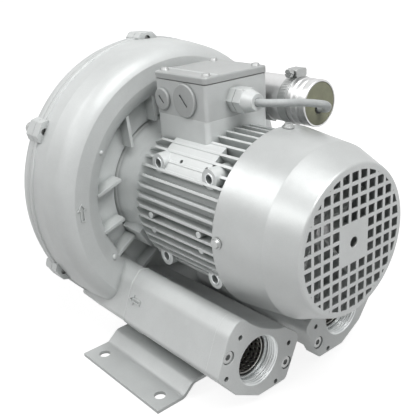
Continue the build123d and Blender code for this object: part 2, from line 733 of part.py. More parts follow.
# ---- rotor --------------------------------------------------------------------------------------
def shaft():
    rear_r = REAR_BEARING[0] - RUNNING_GAP
    drive_r = DRIVE_BEARING[0] - RUNNING_GAP
    with BuildPart() as body:
        with BuildSketch(AXIS_PLANE):
            with BuildLine():
                Polyline((0, -124), (5.6, -124), (6.4, -123.2), (6.4, -94.5), (rear_r, -94.5), (rear_r, -80),
                         (SHAFT_CORE_R, -79), (SHAFT_CORE_R, 47), (drive_r, 49), (drive_r, 73.5),
                         (7.5, 73.5), (7.5, 86), (4, 86), (4, 92), (0, 92), close=True)
            make_face()
        revolve(axis=MOTOR_AXIS)
        with Locations((0, 79.5, AXIS_HEIGHT + 7)):
            Box(4, 10, 4, mode=Mode.SUBTRACT)
    return body


def impeller():
    """A hub disc and a thick rim with open vane pockets on both faces."""
    vanes = 48
    middle = IMPELLER_MID_Y
    low = middle - 12
    high = middle + 12
    with BuildPart() as wheel:
        with BuildSketch(AXIS_PLANE):
            with BuildLine():
                Polyline((7.5, 73.8), (15, 73.8), (15, 74.5), (72, 74.5), (74, low), (86, low))
                ThreePointArc((86, low), (96, middle - 4.5), (118, middle - 1.5))
                Line((118, middle - 1.5), (118, middle + 1.5))
                ThreePointArc((118, middle + 1.5), (96, middle + 4.5), (86, high))
                Polyline((86, high), (74, high), (72, 80), (15, 80), (15, 86), (7.5, 86), (7.5, 73.8))
            make_face()
        revolve(axis=MOTOR_AXIS)
        with BuildSketch(on_axis(low)):
            with PolarLocations(101.5, vanes):
                Rectangle(37, 2.0)
            Circle(120, mode=Mode.INTERSECT)
        extrude(amount=low - high)
    return wheel


def impeller_key():
    with BuildPart() as key:
        with Locations((0, 79.5, AXIS_HEIGHT + 6.1)):
            Box(4, 10, 2.2)
    return key


def impeller_nut():
    with BuildPart() as nut:
        with BuildSketch(on_axis(86)):
            Circle(8)
            Circle(4, mode=Mode.SUBTRACT)
        extrude(amount=-1.2)
        with BuildSketch(on_axis(87.2)):
            RegularPolygon(7.0, 6)
            Circle(4, mode=Mode.SUBTRACT)
        extrude(amount=-4.8)
    return nut


def cooling_fan():
    """Moulded fan: a hub and a backplate with straight radial blades, which work either way round."""
    blades = 10
    with BuildPart() as fan:
        with BuildSketch(AXIS_PLANE):
            with BuildLine():
                Polyline((6.4, -121), (11, -121), (12, -101), (54, -99), (54, -97), (6.4, -97), close=True)
            make_face()
        revolve(axis=MOTOR_AXIS)
        for turn in range(blades):
            with BuildSketch(radial_plane(18 + 360 / blades * turn)):
                with BuildLine():
                    Polyline((10, -98), (10.5, -119), (30, -122), (57, -120), (59, -97.5), (54, -97.5),
                             close=True)
                make_face()
            extrude(amount=1.1, both=True)
        with BuildSketch(on_axis(-97)):
            Circle(6.4)
        extrude(amount=30, mode=Mode.SUBTRACT)
    return fan


# ---- fan cowl -----------------------------------------------------------------------------------
def fan_cowl():
    sheet = COWL_SHEET
    with BuildPart() as cowl:
        with BuildSketch(AXIS_PLANE):
            with BuildLine():
                FilletPolyline((COWL_REAR_R, COWL_REAR_Y), (COWL_CREASE_R, COWL_CREASE_Y),
                               (COWL_FACE_R, COWL_FACE_Y), (0, COWL_FACE_Y), radius=(4.0, 2.4))
                Line((0, COWL_FACE_Y), (0, COWL_FACE_Y + sheet))
                FilletPolyline((0, COWL_FACE_Y + sheet), (COWL_FACE_R - 0.75, COWL_FACE_Y + sheet),
                               (COWL_CREASE_R - sheet, COWL_CREASE_Y), (COWL_REAR_R - sheet, COWL_REAR_Y),
                               radius=(1.2, 2.8))
                Line((COWL_REAR_R - sheet, COWL_REAR_Y), (COWL_REAR_R, COWL_REAR_Y))
            make_face()
        revolve(axis=MOTOR_AXIS)
        with BuildSketch(on_axis(COWL_FACE_Y)):
            with GridLocations(GRILLE_PITCH, GRILLE_PITCH, GRILLE_COUNT, GRILLE_COUNT):
                Rectangle(GRILLE_HOLE, GRILLE_HOLE)
            Rectangle(3 * GRILLE_PITCH - 1, 3 * GRILLE_PITCH - 1, mode=Mode.SUBTRACT)
            Circle(GRILLE_CLIP_R, mode=Mode.INTERSECT)
            Circle(4.0)
        extrude(amount=-sheet, mode=Mode.SUBTRACT)
        for turn in range(4):
            with BuildSketch(cowl_screw_plane(turn, 2)):
                Circle(2.3)
            extrude(amount=-6, mode=Mode.SUBTRACT)
    return cowl


def cowl_screws():
    """Pan head screws, set square to the cowl's sloping side, each on a thin washer."""
    with BuildPart() as screws:
        for turn in range(4):
            with BuildSketch(cowl_screw_plane(turn, 0.12)):
                Circle(4.6)
            extrude(amount=0.8)
            with BuildSketch(cowl_screw_plane(turn, 0.92)):
                Circle(3.8)
            extrude(amount=2.2, taper=18)
            with BuildSketch(cowl_screw_plane(turn, 0.92)):
                Circle(2.0)
            extrude(amount=-8.0)
    return screws


# ---- terminal box -------------------------------------------------------------------------------
def terminal_box():
    with BuildPart() as box:
        with BuildSketch(Plane.XY.offset(BOX_BASE_Z)):
            with Locations((0, BOX_MID_Y)):
                RectangleRounded(BOX_WIDTH, BOX_DEPTH, 3)
        extrude(amount=BOX_TOP_Z - BOX_BASE_Z)
        with BuildSketch(Plane.XY.offset(BOX_BASE_Z + 3)):
            with Locations((0, BOX_MID_Y)):
                RectangleRounded(BOX_WIDTH - 2 * BOX_WALL, BOX_DEPTH - 2 * BOX_WALL, 3)
        extrude(amount=BOX_TOP_Z - BOX_BASE_Z, mode=Mode.SUBTRACT)
        with BuildSketch(Plane.XY.offset(BOX_BASE_Z)):
            with Locations((0, BOX_MID_Y)):
                Circle(12)
        extrude(amount=3, mode=Mode.SUBTRACT)
        with BuildSketch(Plane.XY.offset(BOX_BASE_Z + 3)):
            with Locations((0, BOX_MID_Y)):
                with GridLocations(2 * LID_SCREW_X, 2 * LID_SCREW_Y, 2, 2):
                    Circle(4.5)
        extrude(amount=BOX_TOP_Z - BOX_BASE_Z - 3)
        with BuildSketch(Plane.XY.offset(BOX_TOP_Z)):
            with Locations((0, BOX_MID_Y)):
                with GridLocations(2 * LID_SCREW_X, 2 * LID_SCREW_Y, 2, 2):
                    Circle(2.0 + RUNNING_GAP)
        extrude(amount=-12, mode=Mode.SUBTRACT)
        for label, y, z, radius in PLUGS:
            with BuildSketch(Plane(origin=(-BOX_WIDTH / 2, y, z), x_dir=(0, -1, 0), z_dir=(-1, 0, 0))):
                Circle(radius - 3.0)
            extrude(amount=-BOX_WALL - 1, mode=Mode.SUBTRACT)
        with BuildSketch(facing(BOX_FRONT_Y, GLAND_X, GLAND_Z)):
            Circle(6.0)
        extrude(amount=-BOX_WALL - 1, mode=Mode.SUBTRACT)
        with BuildSketch(bracket_screw_plane()):
            with Locations(*BRACKET_SCREWS):
                Circle(1.6)
        extrude(amount=-BOX_WALL - 2.5, mode=Mode.SUBTRACT)
    return box


def lid_gasket():
    with BuildPart() as gasket:
        with BuildSketch(Plane.XY.offset(BOX_TOP_Z)):
            with Locations((0, BOX_MID_Y)):
                RectangleRounded(BOX_WIDTH - 1, BOX_DEPTH - 1, 3)
                RectangleRounded(BOX_WIDTH - 2 * BOX_WALL, BOX_DEPTH - 2 * BOX_WALL, 3, mode=Mode.SUBTRACT)
                with GridLocations(2 * LID_SCREW_X, 2 * LID_SCREW_Y, 2, 2):
                    Circle(4.0)
                    Circle(2.3, mode=Mode.SUBTRACT)
        extrude(amount=0.8)
    return gasket


def terminal_box_lid():
    with BuildPart() as lid:
        with BuildSketch(Plane.XY.offset(BOX_TOP_Z + 0.8)):
            with Locations((0, BOX_MID_Y)):
                RectangleRounded(BOX_WIDTH + 1, BOX_DEPTH + 1, 3.5)
        extrude(amount=LID_TOP_Z - BOX_TOP_Z - 0.8)
        fillet(lid.faces().sort_by(Axis.Z)[-1].outer_wire().edges(), radius=1.6)
        with BuildSketch(Plane.XY.offset(BOX_TOP_Z + 0.8)):
            with Locations((0, BOX_MID_Y)):
                RectangleRounded(BOX_WIDTH - 2 * BOX_WALL, BOX_DEPTH - 2 * BOX_WALL, 3)
                with GridLocations(2 * LID_SCREW_X, 2 * LID_SCREW_Y, 2, 2):
                    Circle(6.0, mode=Mode.SUBTRACT)
        extrude(amount=2.6, mode=Mode.SUBTRACT)
        with BuildSketch(Plane.XY.offset(LID_TOP_Z)):
            with Locations((0, BOX_MID_Y)):
                with GridLocations(2 * LID_SCREW_X, 2 * LID_SCREW_Y, 2, 2):
                    Circle(2.3)
        extrude(amount=-8, mode=Mode.SUBTRACT)
    return lid


def lid_screws():
    with BuildPart() as screws:
        with BuildSketch(Plane.XY.offset(LID_TOP_Z)):
            with Locations((0, BOX_MID_Y)):
                with GridLocations(2 * LID_SCREW_X, 2 * LID_SCREW_Y, 2, 2):
                    Circle(3.6)
        extrude(amount=2.0, taper=20)
        with BuildSketch(Plane.XY.offset(LID_TOP_Z)):
            with Locations((0, BOX_MID_Y)):
                with GridLocations(2 * LID_SCREW_X, 2 * LID_SCREW_Y, 2, 2):
                    Circle(2.0)
        extrude(amount=-16.0)
    return screws


def terminal_block():
    with BuildPart() as block:
        with Locations((0, BOX_MID_Y, BOX_BASE_Z + 3 + 4)):
            Box(30, 34, 8)
        for step in (-1, 1):
            with Locations((0, BOX_MID_Y + step * 5.5, BOX_BASE_Z + 3 + 8 + 1.5)):
                Box(30, 1.4, 3)
    return block


def terminal_studs():
    with BuildPart() as studs:
        with BuildSketch(Plane.XY.offset(BOX_BASE_Z + 11)):
            with Locations((0, BOX_MID_Y)):
                with GridLocations(18, 11, 2, 3):
                    Circle(2.0)
        extrude(amount=9.0)
        with BuildSketch(Plane.XY.offset(BOX_BASE_Z + 11)):
            with Locations((0, BOX_MID_Y)):
                with GridLocations(18, 11, 2, 3):
                    RegularPolygon(3.4, 6)
        extrude(amount=3.2)
    return studs


def box_plug(y, z, radius):
    """Blanking plug with a rounded head and a screwdriver slot across it."""
    head = 2.6
    seat = Plane(origin=(-BOX_WIDTH / 2, y, z), x_dir=(0, -1, 0), z_dir=(-1, 0, 0))
    with BuildPart() as plug:
        with BuildSketch(seat):
            Circle(radius)
        extrude(amount=head)
        fillet(plug.faces().sort_by(Axis.X)[0].outer_wire().edges(), radius=1.2)
        with BuildSketch(seat):
            Circle(radius - 3.0)
        extrude(amount=-BOX_WALL)
        with BuildSketch(seat.offset(head)):
            Rectangle(radius * 0.9, 2.0, rotation=-45)
        extrude(amount=-1.4, mode=Mode.SUBTRACT)
    return plug


def gland_body():
    seat = facing(BOX_FRONT_Y, GLAND_X, GLAND_Z)
    with BuildPart() as body:
        with BuildSketch(seat):
            RegularPolygon(10.6, 6)
        extrude(amount=6.0)
        with BuildSketch(seat.offset(6.0)):
            Circle(7.6)
        extrude(amount=9.0)
        with BuildSketch(seat):
            Circle(6.0)
        extrude(amount=-BOX_WALL - 4)
        with BuildSketch(seat.offset(16)):
            Circle(LEAD_DIAMETER / 2 + 2.0)
        extrude(amount=-30, mode=Mode.SUBTRACT)
    return body


def gland_locknut():
    with BuildPart() as nut:
        with BuildSketch(facing(BOX_FRONT_Y + BOX_WALL, GLAND_X, GLAND_Z)):
            RegularPolygon(9.0, 6)
            Circle(6.0, mode=Mode.SUBTRACT)
        extrude(amount=-3.0)
    return nut


def gland_seal():
    """Rubber plug squeezed round the lead; the lead's core is drawn as part of it."""
    with BuildPart() as seal:
        with BuildSketch(facing(BOX_FRONT_Y + 3, GLAND_X, GLAND_Z)):
            Circle(LEAD_DIAMETER / 2 + 2.0)
        extrude(amount=3 + GLAND_SEAL_OUT)
    return seal


def gland_nut():
    seat = facing(BOX_FRONT_Y - 6.6, GLAND_X, GLAND_Z)
    with BuildPart() as nut:
        with BuildSketch(seat):
            RegularPolygon(10.6, 6)
        extrude(amount=8.0)
        with BuildSketch(seat.offset(8.0)):
            Circle(9.2)
        extrude(amount=9.4, taper=16)
        with BuildSketch(seat):
            Circle(7.6)
        extrude(amount=8.6, mode=Mode.SUBTRACT)
        with BuildSketch(seat.offset(8.6)):
            Circle(5.4)
        extrude(amount=6.0, mode=Mode.SUBTRACT)
        with BuildSketch(seat.offset(8.0)):
            Circle(LEAD_DIAMETER / 2 + 0.35)
        extrude(amount=12.0, mode=Mode.SUBTRACT)
    return nut


# ---- capacitor ----------------------------------------------------------------------------------
def turned_at(x, z, points):
    with BuildPart() as piece:
        with BuildSketch(Plane.XY.offset(z)):
            with BuildLine():
                Polyline(*[(x + r, y) for r, y in points], close=True)
            make_face()
        revolve(axis=Axis((x, 0, z), (0, 1, 0)))
    return piece


def capacitor_can():
    r = CAPACITOR_R
    f = CAPACITOR_FRONT_Y
    return turned_at(CAPACITOR_X, CAPACITOR_Z, [
        (0, CAPACITOR_REAR_Y), (r - 2, CAPACITOR_REAR_Y), (r, CAPACITOR_REAR_Y - 2), (r, f + 15),
        (r - 0.9, f + 14), (r - 0.9, f + 12), (r, f + 11), (r, f + 9), (r - 0.9, f + 8),
        (r - 0.9, f + 6), (r, f + 5), (r, f + 0.5), (r - 0.5, f), (r - 1.6, f), (r - 1.6, f + 2.0),
        (0, f + 2.0)])


def capacitor_end_disc():
    r = CAPACITOR_R - 1.6
    f = CAPACITOR_FRONT_Y
    return turned_at(CAPACITOR_X, CAPACITOR_Z,
                     [(0, f + 2.0), (r, f + 2.0), (r, f + 0.8), (r - 0.6, f + 0.3), (0, f + 0.3)])


def capacitor_clamp():
    """Worm drive band round the capacitor, with its housing on top."""
    band_r = CAPACITOR_R + 0.8
    with BuildPart() as clamp:
        with BuildSketch(facing(CLAMP_Y - 4.5, CAPACITOR_X, CAPACITOR_Z)):
            Circle(band_r)
            Circle(CAPACITOR_R, mode=Mode.SUBTRACT)
        extrude(amount=-9)
        with BuildSketch(facing(CLAMP_Y - 5.0, CAPACITOR_X, CAPACITOR_Z)):
            with Locations((0, CAPACITOR_R + 3.6)):
                RectangleRounded(12, 7, 2)
        extrude(amount=-10)
        with BuildSketch(facing(CLAMP_Y - 6, CAPACITOR_X, CAPACITOR_Z)):
            Circle(CAPACITOR_R)
        extrude(amount=-14, mode=Mode.SUBTRACT)
        with BuildSketch(clamp_screw_plane()):
            Circle(2.2)
        extrude(amount=8, both=True, mode=Mode.SUBTRACT)
    return clamp


def clamp_screw_plane():
    return Plane(origin=(CAPACITOR_X, CLAMP_Y, CAPACITOR_Z + CAPACITOR_R + 4.0), x_dir=(0, 1, 0),
                 z_dir=(-1, 0, 0))


def capacitor_clamp_screw():
    middle = clamp_screw_plane()
    with BuildPart() as screw:
        with BuildSketch(middle.offset(-7)):
            Circle(2.2)
        extrude(amount=15)
        with BuildSketch(middle.offset(7)):
            RegularPolygon(3.6, 6)
        extrude(amount=4.0)
        with BuildSketch(middle.offset(11)):
            Rectangle(8, 1.0)
        extrude(amount=-1.4, mode=Mode.SUBTRACT)
    return screw


def capacitor_bracket():
    """Bent strap from the terminal box wall to a saddle under the capacitor."""
    wall_x = BOX_WIDTH / 2
    low_angle = 180
    high_angle = 248
    inner = CAPACITOR_R
    outer = CAPACITOR_R + 1.5
    with BuildPart() as bracket:
        with BuildSketch(Plane.XZ.offset(-BRACKET_FRONT_Y)):
            with Locations((wall_x + 0.75, 222)):
                Rectangle(1.5, 16)
            with BuildLine():
                CenterArc((CAPACITOR_X, CAPACITOR_Z), inner, low_angle, high_angle - low_angle)
                CenterArc((CAPACITOR_X, CAPACITOR_Z), outer, low_angle, high_angle - low_angle)
                for angle in (low_angle, high_angle):
                    near = Vector(CAPACITOR_X, CAPACITOR_Z) + Vector(*polar(inner, angle))
                    far = Vector(CAPACITOR_X, CAPACITOR_Z) + Vector(*polar(outer, angle))
                    Line(near, far)
            make_face()
        extrude(amount=-BRACKET_LENGTH)
        with BuildSketch(bracket_screw_plane()):
            with Locations(*BRACKET_SCREWS):
                Circle(1.7)
        extrude(amount=-1.5, mode=Mode.SUBTRACT)
    return bracket


def bracket_screw_plane():
    return Plane(origin=(BOX_WIDTH / 2 + 1.5, 0, 226), x_dir=(0, 1, 0), z_dir=(1, 0, 0))


def bracket_screws():
    """Countersunk-size heads that clear the can beside them."""
    with BuildPart() as screws:
        with BuildSketch(bracket_screw_plane()):
            with Locations(*BRACKET_SCREWS):
                Circle(2.6)
        extrude(amount=0.5)
        with BuildSketch(bracket_screw_plane()):
            with Locations(*BRACKET_SCREWS):
                Circle(1.6)
        extrude(amount=-5.2)
    return screws


def lead_grommet():
    f = CAPACITOR_FRONT_Y + 0.3
    with BuildPart() as grommet:
        with BuildSketch(facing(f, LEAD_END[0], LEAD_END[2])):
            Circle(LEAD_DIAMETER / 2 + 1.5)
        extrude(amount=0.8)
    return grommet


# The lead leaves the gland, turns across to the capacitor and doubles back into its end disc.
LEAD_START = (GLAND_X, BOX_FRONT_Y - GLAND_SEAL_OUT, GLAND_Z)
LEAD_END = (52.8, CAPACITOR_FRONT_Y - 0.5, 213.2)
LEAD_ROUTE = [LEAD_START, (GLAND_X, -67.0, GLAND_Z), (8.0, -77.0, 225.8), (21.0, -81.0, 224.3),
              (33.0, -84.0, 222.0), (46.5, -89.0, 219.0), (52.8, -84.0, 213.2), LEAD_END]


def lead_radii():
    points = [Vector(*point) for point in LEAD_ROUTE]
    radii = []
    for before, corner, after in zip(points, points[1:], points[2:]):
        turn = (corner - before).get_angle(after - corner)
        run = min((corner - before).length, (after - corner).length)
        radii.append(0.45 * run / tan(radians(turn / 2)))
    return radii


def capacitor_lead():
    radii = lead_radii()
    print("capacitor lead arc radii", [round(radius, 1) for radius in radii])
    with BuildPart() as lead:
        with BuildLine() as route:
            FilletPolyline(*LEAD_ROUTE, radius=radii)
        with BuildSketch(Plane(origin=LEAD_START, z_dir=(0, -1, 0))):
            Circle(LEAD_DIAMETER / 2)
        sweep()
    length = route.wire().length
    print("capacitor lead length", round(length, 1), "volume ratio",
          round(lead.part.volume / (length * pi * LEAD_DIAMETER ** 2 / 4), 4))
    return lead


save(blower_housing(), "blower_housing")
save(blower_cover(), "blower_cover")
save(casing_gasket(), "casing_gasket")
save(casing_bolts(), "casing_bolts")
for side, hand in ((-1, "left"), (1, "right")):
    save(silencer_tube(side), f"{hand}_silencer_tube")
    save(port_flange(side), f"{hand}_port_flange")
    save(port_gasket(side), f"{hand}_port_gasket")
    save(silencer_screen(side), f"{hand}_silencer_screen")
    save(silencer_foam(side), f"{hand}_silencer_foam")
save(port_flange_screws(), "port_flange_screws")
save(foot_bracket(), "foot_bracket")
save(foot_screws(), "foot_screws")
save(stator_housing(), "stator_housing")
save(motor_flange_screws(), "motor_flange_screws")
save(stator_core(), "stator_core")
save(stator_windings(), "stator_windings")
save(rear_end_shield(), "rear_end_shield")
save(end_shield_screws(), "end_shield_screws")
save(bearing(DRIVE_BEARING[0], DRIVE_BEARING[1], 50, DRIVE_BEARING[2]), "drive_bearing")
save(bearing(REAR_BEARING[0], REAR_BEARING[1], -91.5, REAR_BEARING[2]), "rear_bearing")
save(ring(DRIVE_BEARING[0], 15, 62.6, 70), "shaft_seal")
save(shaft(), "shaft")
save(ring(SHAFT_CORE_R, ROTOR_R, CORE_REAR_Y, CORE_FRONT_Y), "rotor_core")
save(impeller(), "impeller")
save(impeller_key(), "impeller_key")
save(impeller_nut(), "impeller_nut")
save(cooling_fan(), "cooling_fan")
save(fan_cowl(), "fan_cowl")
save(cowl_screws(), "cowl_screws")
save(terminal_box(), "terminal_box")
save(lid_gasket(), "terminal_box_gasket")
save(terminal_box_lid(), "terminal_box_lid")
save(lid_screws(), "lid_screws")
save(terminal_block(), "terminal_block")
save(terminal_studs(), "terminal_studs")
for label, y, z, radius in PLUGS:
    save(box_plug(y, z, radius), f"{label}_blanking_plug")
save(gland_body(), "gland_body")
save(gland_locknut(), "gland_locknut")
save(gland_seal(), "gland_seal")
save(gland_nut(), "gland_nut")
save(capacitor_can(), "capacitor_can")
save(capacitor_end_disc(), "capacitor_end_disc")
save(capacitor_clamp(), "capacitor_clamp")
save(capacitor_clamp_screw(), "capacitor_clamp_screw")
save(capacitor_bracket(), "capacitor_bracket")
save(bracket_screws(), "bracket_screws")
save(lead_grommet(), "lead_grommet")
save(capacitor_lead(), "capacitor_lead")
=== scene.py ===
"""A single-phase side channel blower on a pale floor. Everything is in metres, in the frame's axes."""
import json
from math import cos, pi, radians, sin

import bmesh
import bpy
from mathutils import Matrix, Vector


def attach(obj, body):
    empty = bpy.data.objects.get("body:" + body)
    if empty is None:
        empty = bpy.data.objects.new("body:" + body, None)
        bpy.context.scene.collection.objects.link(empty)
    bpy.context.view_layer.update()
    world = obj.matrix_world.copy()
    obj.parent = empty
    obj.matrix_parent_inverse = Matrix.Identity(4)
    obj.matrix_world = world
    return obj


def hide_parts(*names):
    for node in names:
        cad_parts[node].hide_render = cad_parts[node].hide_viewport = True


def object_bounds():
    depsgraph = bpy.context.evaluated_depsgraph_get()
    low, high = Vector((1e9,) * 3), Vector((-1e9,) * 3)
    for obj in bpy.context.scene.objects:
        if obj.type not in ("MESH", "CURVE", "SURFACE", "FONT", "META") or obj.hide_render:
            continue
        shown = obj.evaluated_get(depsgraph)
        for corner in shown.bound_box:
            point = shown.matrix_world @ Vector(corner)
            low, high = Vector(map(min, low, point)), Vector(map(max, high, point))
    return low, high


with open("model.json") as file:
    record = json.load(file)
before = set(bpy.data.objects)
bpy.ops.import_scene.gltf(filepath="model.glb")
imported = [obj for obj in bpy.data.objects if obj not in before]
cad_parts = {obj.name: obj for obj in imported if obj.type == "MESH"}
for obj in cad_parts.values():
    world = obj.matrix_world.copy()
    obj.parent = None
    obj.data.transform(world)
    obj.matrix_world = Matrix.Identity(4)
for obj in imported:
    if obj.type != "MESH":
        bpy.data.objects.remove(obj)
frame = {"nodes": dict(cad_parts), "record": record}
cad_box = [list(corner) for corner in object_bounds()]
nodes = frame["nodes"]
scene = bpy.context.scene

# ---- camera -------------------------------------------------------------------------------------
IMAGE_PX = 419
FOCAL_PX = 648.3
CAMERA_AT = Vector((-0.33959, -0.40743, 0.33297))
AZIMUTH, ELEVATION, ROLL = -0.68857, 0.37716, -0.06305


def make_camera():
    back = Vector((sin(AZIMUTH) * cos(ELEVATION), -cos(AZIMUTH) * cos(ELEVATION), sin(ELEVATION)))
    level = Vector((cos(AZIMUTH), sin(AZIMUTH), 0.0))
    up = back.cross(level)
    right = cos(ROLL) * level + sin(ROLL) * up
    top = -sin(ROLL) * level + cos(ROLL) * up
    data = bpy.data.cameras.new("Camera")
    data.sensor_width = 36.0
    data.lens = 36.0 * FOCAL_PX / IMAGE_PX
    camera = bpy.data.objects.new("Camera", data)
    scene.collection.objects.link(camera)
    turn = Matrix((right, top, back)).transposed().to_4x4()
    camera.matrix_world = Matrix.Translation(CAMERA_AT) @ turn
    scene.camera = camera


make_camera()

# ---- materials ----------------------------------------------------------------------------------
class Nodes:
    """Shorthand for building one material's node tree."""

    def __init__(self, name):
        self.material = bpy.data.materials.new(name)
        self.material.use_nodes = True
        self.tree = self.material.node_tree
        self.shader = self.tree.nodes["Principled BSDF"]
        self.coords = self.tree.nodes.new("ShaderNodeTexCoord").outputs["Object"]

    def link(self, a, b):
        self.tree.links.new(a, b)

    def noise(self, scale, detail=3.0, rough=0.5, stretch=None):
        node = self.tree.nodes.new("ShaderNodeTexNoise")
        node.inputs["Scale"].default_value = scale
        node.inputs["Detail"].default_value = detail
        node.inputs["Roughness"].default_value = rough
        source = self.coords
        if stretch:
            mapping = self.tree.nodes.new("ShaderNodeMapping")
            mapping.inputs["Scale"].default_value = stretch
            self.link(self.coords, mapping.inputs["Vector"])
            source = mapping.outputs["Vector"]
        self.link(source, node.inputs["Vector"])
        return node.outputs["Fac"]

    def ramp(self, source, stops):
        node = self.tree.nodes.new("ShaderNodeValToRGB")
        ramp = node.color_ramp
        while len(ramp.elements) < len(stops):
            ramp.elements.new(0.5)
        for element, (place, colour) in zip(ramp.elements, stops):
            element.position = place
            element.color = (*colour, 1.0) if len(colour) == 3 else colour
        self.link(source, node.inputs["Fac"])
        return node.outputs["Color"]

    def value(self, source, low, high):
        node = self.tree.nodes.new("ShaderNodeMapRange")
        node.inputs["To Min"].default_value = low
        node.inputs["To Max"].default_value = high
        self.link(source, node.inputs["Value"])
        return node.outputs["Result"]

    def multiply(self, a, b):
        node = self.tree.nodes.new("ShaderNodeMix")
        node.data_type = "RGBA"
        node.blend_type = "MULTIPLY"
        node.inputs["Factor"].default_value = 1.0
        self.link(a, node.inputs["A"])
        self.link(b, node.inputs["B"])
        return node.outputs["Result"]

    def edges(self, gain, radius):
        """Painted highlight: a colour above 1 along sharp edges, lightening them as if they caught the
        light.
        """
        rounded = self.tree.nodes.new("ShaderNodeBevel")
        rounded.samples = 6
        rounded.inputs["Radius"].default_value = radius
        true_normal = self.tree.nodes.new("ShaderNodeNewGeometry").outputs["Normal"]
        dot = self.tree.nodes.new("ShaderNodeVectorMath")
        dot.operation = "DOT_PRODUCT"
        self.link(rounded.outputs["Normal"], dot.inputs[0])
        self.link(true_normal, dot.inputs[1])
        return self.ramp(dot.outputs["Value"], ((0.82, grey(gain)), (0.98, grey(1.0))))

    def bump(self, layers, edge_radius=0.0):
        """Stacks bump maps on rounded edges: (height socket, strength, distance in metres)."""
        last = None
        if edge_radius:
            rounded = self.tree.nodes.new("ShaderNodeBevel")
            rounded.samples = 6
            rounded.inputs["Radius"].default_value = edge_radius
            last = rounded.outputs["Normal"]
        for height, strength, distance in layers:
            node = self.tree.nodes.new("ShaderNodeBump")
            node.inputs["Strength"].default_value = strength
            node.inputs["Distance"].default_value = distance
            self.link(height, node.inputs["Height"])
            if last is not None:
                self.link(last, node.inputs["Normal"])
            last = node.outputs["Normal"]
        self.link(last, self.shader.inputs["Normal"])

    def painted_crevice_shade(self, dark, distance=0.012, low=0.25, high=0.85):
        """Painted shade: darkens the colour in corners and between fins, where ambient occlusion finds
        them hemmed in.
        """
        node = self.tree.nodes.new("ShaderNodeAmbientOcclusion")
        node.inputs["Distance"].default_value = distance
        node.samples = 8
        return self.ramp(node.outputs["AO"], ((low, dark), (high, (1.0, 1.0, 1.0))))


def grey(value, tint=(1.0, 1.0, 1.0)):
    return tuple(value * part for part in tint)


def silver_paint(name, value, grain=0.00012, crevice_shade_tone=0.42, roughness=(0.36, 0.46), metallic=0.2,
                 tint=(0.972, 1.0, 0.993)):
    """Sprayed silver paint on a casting: soft mottling, orange peel and a fine sand texture, with painted
    shade in corners and a painted highlight on sharp edges.
    """
    n = Nodes(name)
    broad = n.noise(28, 4, 0.6)
    colour = n.ramp(broad, ((0.25, grey(value * 0.93, tint)), (0.75, grey(value * 1.05, tint))))
    flakes = n.ramp(n.noise(2400, 2, 0.6), ((0.3, (0.9, 0.9, 0.9)), (0.7, (1.0, 1.0, 1.0))))
    colour = n.multiply(colour, flakes)
    # painted shade: the colour darkens in corners and gaps, by the ambient occlusion
    colour = n.multiply(colour, n.painted_crevice_shade(grey(crevice_shade_tone, (0.97, 1.0, 0.99)), 0.009, 0.2, 0.8))
    # painted highlight: sharp edges lightened by a quarter
    colour = n.multiply(colour, n.edges(1.25, 0.0006))
    n.link(colour, n.shader.inputs["Base Color"])
    n.link(n.value(n.noise(60, 3), *roughness), n.shader.inputs["Roughness"])
    n.shader.inputs["Metallic"].default_value = metallic
    n.bump(((n.noise(900, 3, 0.6), 0.35, grain), (n.noise(160, 2), 0.25, 0.0004)), edge_radius=0.0005)
    return n.material


def bright_metal(name, value, roughness=(0.22, 0.34), tint=(1.0, 1.0, 1.0), stretch=None):
    n = Nodes(name)
    tone = n.noise(180, 4, 0.6, stretch)
    colour = n.ramp(tone, ((0.3, grey(value * 0.86, tint)), (0.7, grey(value, tint))))
    n.link(colour, n.shader.inputs["Base Color"])
    n.link(n.value(tone, *roughness), n.shader.inputs["Roughness"])
    n.shader.inputs["Metallic"].default_value = 1.0
    n.bump(((n.noise(1500, 2, 0.5, stretch), 0.2, 0.00005),), edge_radius=0.0003)
    return n.material


def plain_stuff(name, colour, roughness=(0.45, 0.6), grain=600, height=0.00008, metallic=0.0):
    """Plastics, rubber and resin: faint mottling and a moulded or cast grain."""
    n = Nodes(name)
    tone = n.noise(120, 3, 0.6)
    light = tuple(min(1.0, part * 1.08) for part in colour)
    dark = tuple(part * 0.88 for part in colour)
    n.link(n.ramp(tone, ((0.3, dark), (0.7, light))), n.shader.inputs["Base Color"])
    n.link(n.value(tone, *roughness), n.shader.inputs["Roughness"])
    n.shader.inputs["Metallic"].default_value = metallic
    n.bump(((n.noise(grain, 3, 0.6), 0.4, height),))
    return n.material


